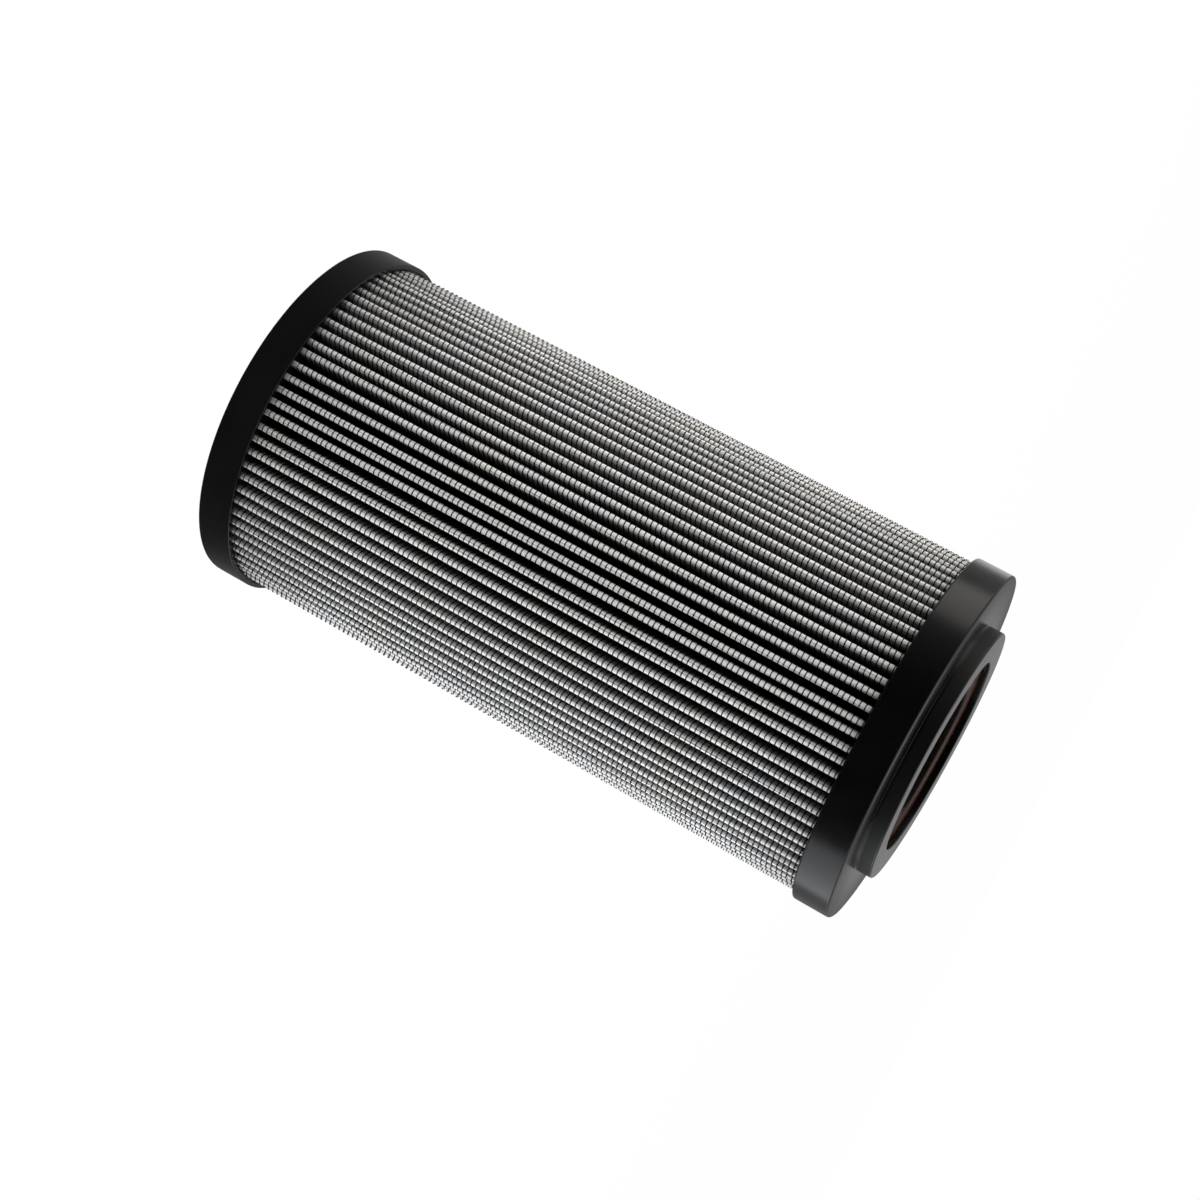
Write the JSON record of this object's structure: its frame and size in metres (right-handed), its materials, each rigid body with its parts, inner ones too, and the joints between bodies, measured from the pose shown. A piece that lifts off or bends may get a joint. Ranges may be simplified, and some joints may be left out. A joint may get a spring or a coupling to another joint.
{
  "type": "hydraulic filter",
  "caption": "Pleated cylindrical hydraulic filter element with two black end caps, wire mesh over white media, and a collared outlet bore with an inner seal ring.",
  "frame": {"origin": "middle of the closed end cap's outer face, which the filter stands on", "axes": "+Z along the filter's axis, from the closed end cap to the open one; X and Y are square to it, with the side seam towards +Y"},
  "size_m": [0.095, 0.095, 0.1887],
  "materials": {
    "cap_plastic": "satin black moulded nylon with a fine grain",
    "seal_rubber": "brown fluorocarbon rubber",
    "core_steel": "tinned sheet",
    "outer_wire": "black epoxy coat on wire cloth",
    "fleece": "white spun-bonded fleece",
    "media": "white glass-fibre felt",
    "inner_wire": "plain steel wire cloth",
    "adhesive": "dark potting adhesive"
  },
  "bodies": {
    "root": {"closed_end_cap": "cap_plastic", "open_end_cap": "cap_plastic", "seal_ring": "seal_rubber", "core_tube": "core_steel", "outer_support_mesh": "outer_wire", "outer_fleece": "fleece", "filter_media": "media", "inner_support_mesh": "inner_wire", "closed_end_potting": "adhesive", "open_end_potting": "adhesive", "side_seam": "adhesive"}
  },
  "joints": []
}
